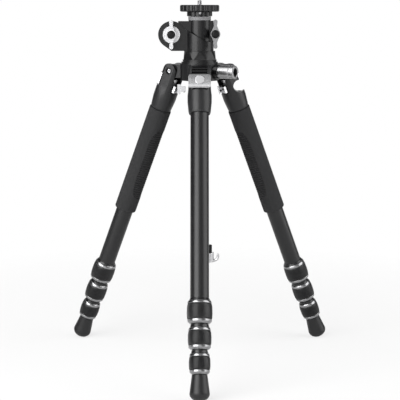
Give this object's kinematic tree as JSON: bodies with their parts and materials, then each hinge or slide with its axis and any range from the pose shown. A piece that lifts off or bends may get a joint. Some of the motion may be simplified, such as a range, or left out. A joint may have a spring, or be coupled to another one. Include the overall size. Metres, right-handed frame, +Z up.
{
  "type": "camera tripod",
  "caption": "Compact tripod with splayed telescoping legs, twist collars, a swivelling clamp head with a sliding centre column, a round camera platform and a weight hook.",
  "frame": {"origin": "middle of the floor box under the feet, on the floor", "axes": "+Z up, front leg towards -Y, +X to the right seen from the front"},
  "size_m": [0.4078, 0.3568, 0.5344],
  "materials": {
    "casting_black": "matte powder coat",
    "tube_black": "satin black anodised",
    "rubber_black": "matte",
    "foam_grey": "matte foam",
    "silver": "satin anodised",
    "ring_grey": "satin anodised",
    "steel": "bright",
    "cap_black": "satin",
    "guide_black": "matte"
  },
  "bodies": {
    "shoulder": {"shoulder": "casting_black", "hinge_bolts": "steel", "accessory_socket": "silver"},
    "head": {"swivel_collar": "casting_black", "lower_housing": "casting_black", "upper_sleeve": "casting_black", "bearing_ring": "ring_grey", "pivot_bolt": "steel", "clamp_bolt": "steel"},
    "pivot_knob": {"pivot_knob": "silver", "pivot_knob_cap": "cap_black"},
    "clamp_knob": {"clamp_knob": "silver", "clamp_knob_cap": "cap_black"},
    "column": {"column_tube": "tube_black", "column_neck": "casting_black", "camera_platform": "casting_black", "camera_screw": "steel", "column_cap": "guide_black"},
    "hook": {"weight_hook": "steel"},
    "front_leg": {"front_casting": "casting_black", "front_tube_1": "tube_black"},
    "front_lock": {"front_angle_lock": "silver"},
    "front_twist_1": {"front_collar_1": "silver", "front_collar_sleeve_1": "rubber_black"},
    "front_section_2": {"front_tube_2": "tube_black"},
    "front_twist_2": {"front_collar_2": "silver", "front_collar_sleeve_2": "rubber_black"},
    "front_section_3": {"front_tube_3": "tube_black"},
    "front_twist_3": {"front_collar_3": "silver", "front_collar_sleeve_3": "rubber_black"},
    "front_section_4": {"front_tube_4": "tube_black", "front_foot": "rubber_black"},
    "right_leg": {"right_casting": "casting_black", "right_tube_1": "tube_black", "right_grip": "foam_grey"},
    "right_lock": {"right_angle_lock": "silver"},
    "right_twist_1": {"right_collar_1": "silver", "right_collar_sleeve_1": "rubber_black"},
    "right_section_2": {"right_tube_2": "tube_black"},
    "right_twist_2": {"right_collar_2": "silver", "right_collar_sleeve_2": "rubber_black"},
    "right_section_3": {"right_tube_3": "tube_black"},
    "right_twist_3": {"right_collar_3": "silver", "right_collar_sleeve_3": "rubber_black"},
    "right_section_4": {"right_tube_4": "tube_black", "right_foot": "rubber_black"},
    "left_leg": {"left_casting": "casting_black", "left_tube_1": "tube_black", "left_grip": "foam_grey"},
    "left_lock": {"left_angle_lock": "silver"},
    "left_twist_1": {"left_collar_1": "silver", "left_collar_sleeve_1": "rubber_black"},
    "left_section_2": {"left_tube_2": "tube_black"},
    "left_twist_2": {"left_collar_2": "silver", "left_collar_sleeve_2": "rubber_black"},
    "left_section_3": {"left_tube_3": "tube_black"},
    "left_twist_3": {"left_collar_3": "silver", "left_collar_sleeve_3": "rubber_black"},
    "left_section_4": {"left_tube_4": "tube_black", "left_foot": "rubber_black"}
  },
  "joints": [
    {"name": "head_swivel", "type": "hinge", "parent": "shoulder", "child": "head", "pos_m": [0, 0.05469, 0.46151], "axis": [0, 0, 1], "continuous": true},
    {"name": "pivot_knob_turn", "type": "hinge", "parent": "head", "child": "pivot_knob", "pos_m": [-0.041, 0.05469, 0.48511], "axis": [0, -1, 0], "range_deg": [0, 270]},
    {"name": "clamp_knob_turn", "type": "hinge", "parent": "head", "child": "clamp_knob", "pos_m": [0.0228, 0.05469, 0.48611], "axis": [0, -1, 0], "range_deg": [0, 270]},
    {"name": "column_slide", "type": "slide", "parent": "head", "child": "column", "axis": [0, 0, 1], "range_m": [0, 0.243]},
    {"name": "hook_swivel", "type": "hinge", "parent": "column", "child": "hook", "pos_m": [0.0145, 0.05469, 0.161], "axis": [0, 0, 1], "continuous": true},
    {"name": "front_leg_fold", "type": "hinge", "parent": "shoulder", "child": "front_leg", "pos_m": [0, 0.01069, 0.43151], "axis": [-1, 0, 0], "range_deg": [-22, 0]},
    {"name": "front_lock_pull", "type": "slide", "parent": "front_leg", "child": "front_lock", "axis": [0, -0.9239, 0.3827], "range_m": [0, 0.006], "stiffness_N_per_m": 800, "springref_m": -0.004},
    {"name": "front_twist_1_turn", "type": "hinge", "parent": "front_leg", "child": "front_twist_1", "pos_m": [0, 0.01069, 0.43151], "axis": [0, -0.3827, -0.9239], "range_deg": [0, 90]},
    {"name": "front_section_2_slide", "type": "slide", "parent": "front_leg", "child": "front_section_2", "axis": [0, -0.3827, -0.9239], "range_m": [0, 0.236]},
    {"name": "front_twist_2_turn", "type": "hinge", "parent": "front_section_2", "child": "front_twist_2", "pos_m": [0, 0.01069, 0.43151], "axis": [0, -0.3827, -0.9239], "range_deg": [0, 90]},
    {"name": "front_section_3_slide", "type": "slide", "parent": "front_section_2", "child": "front_section_3", "axis": [0, -0.3827, -0.9239], "range_m": [0, 0.265]},
    {"name": "front_twist_3_turn", "type": "hinge", "parent": "front_section_3", "child": "front_twist_3", "pos_m": [0, 0.01069, 0.43151], "axis": [0, -0.3827, -0.9239], "range_deg": [0, 90]},
    {"name": "front_section_4_slide", "type": "slide", "parent": "front_section_3", "child": "front_section_4", "axis": [0, -0.3827, -0.9239], "range_m": [0, 0.292]},
    {"name": "right_leg_fold", "type": "hinge", "parent": "shoulder", "child": "right_leg", "pos_m": [0.03811, 0.07669, 0.43151], "axis": [0.5, -0.866, 0], "range_deg": [-22, 0]},
    {"name": "right_lock_pull", "type": "slide", "parent": "right_leg", "child": "right_lock", "axis": [0.8001, 0.4619, 0.3827], "range_m": [0, 0.006], "stiffness_N_per_m": 800, "springref_m": -0.004},
    {"name": "right_twist_1_turn", "type": "hinge", "parent": "right_leg", "child": "right_twist_1", "pos_m": [0.03811, 0.07669, 0.43151], "axis": [0.3314, 0.1913, -0.9239], "range_deg": [0, 90]},
    {"name": "right_section_2_slide", "type": "slide", "parent": "right_leg", "child": "right_section_2", "axis": [0.3314, 0.1913, -0.9239], "range_m": [0, 0.236]},
    {"name": "right_twist_2_turn", "type": "hinge", "parent": "right_section_2", "child": "right_twist_2", "pos_m": [0.03811, 0.07669, 0.43151], "axis": [0.3314, 0.1913, -0.9239], "range_deg": [0, 90]},
    {"name": "right_section_3_slide", "type": "slide", "parent": "right_section_2", "child": "right_section_3", "axis": [0.3314, 0.1913, -0.9239], "range_m": [0, 0.265]},
    {"name": "right_twist_3_turn", "type": "hinge", "parent": "right_section_3", "child": "right_twist_3", "pos_m": [0.03811, 0.07669, 0.43151], "axis": [0.3314, 0.1913, -0.9239], "range_deg": [0, 90]},
    {"name": "right_section_4_slide", "type": "slide", "parent": "right_section_3", "child": "right_section_4", "axis": [0.3314, 0.1913, -0.9239], "range_m": [0, 0.292]},
    {"name": "left_leg_fold", "type": "hinge", "parent": "shoulder", "child": "left_leg", "pos_m": [-0.03811, 0.07669, 0.43151], "axis": [0.5, 0.866, 0], "range_deg": [-22, 0]},
    {"name": "left_lock_pull", "type": "slide", "parent": "left_leg", "child": "left_lock", "axis": [-0.8001, 0.4619, 0.3827], "range_m": [0, 0.006], "stiffness_N_per_m": 800, "springref_m": -0.004},
    {"name": "left_twist_1_turn", "type": "hinge", "parent": "left_leg", "child": "left_twist_1", "pos_m": [-0.03811, 0.07669, 0.43151], "axis": [-0.3314, 0.1913, -0.9239], "range_deg": [0, 90]},
    {"name": "left_section_2_slide", "type": "slide", "parent": "left_leg", "child": "left_section_2", "axis": [-0.3314, 0.1913, -0.9239], "range_m": [0, 0.236]},
    {"name": "left_twist_2_turn", "type": "hinge", "parent": "left_section_2", "child": "left_twist_2", "pos_m": [-0.03811, 0.07669, 0.43151], "axis": [-0.3314, 0.1913, -0.9239], "range_deg": [0, 90]},
    {"name": "left_section_3_slide", "type": "slide", "parent": "left_section_2", "child": "left_section_3", "axis": [-0.3314, 0.1913, -0.9239], "range_m": [0, 0.265]},
    {"name": "left_twist_3_turn", "type": "hinge", "parent": "left_section_3", "child": "left_twist_3", "pos_m": [-0.03811, 0.07669, 0.43151], "axis": [-0.3314, 0.1913, -0.9239], "range_deg": [0, 90]},
    {"name": "left_section_4_slide", "type": "slide", "parent": "left_section_3", "child": "left_section_4", "axis": [-0.3314, 0.1913, -0.9239], "range_m": [0, 0.292]}
  ]
}
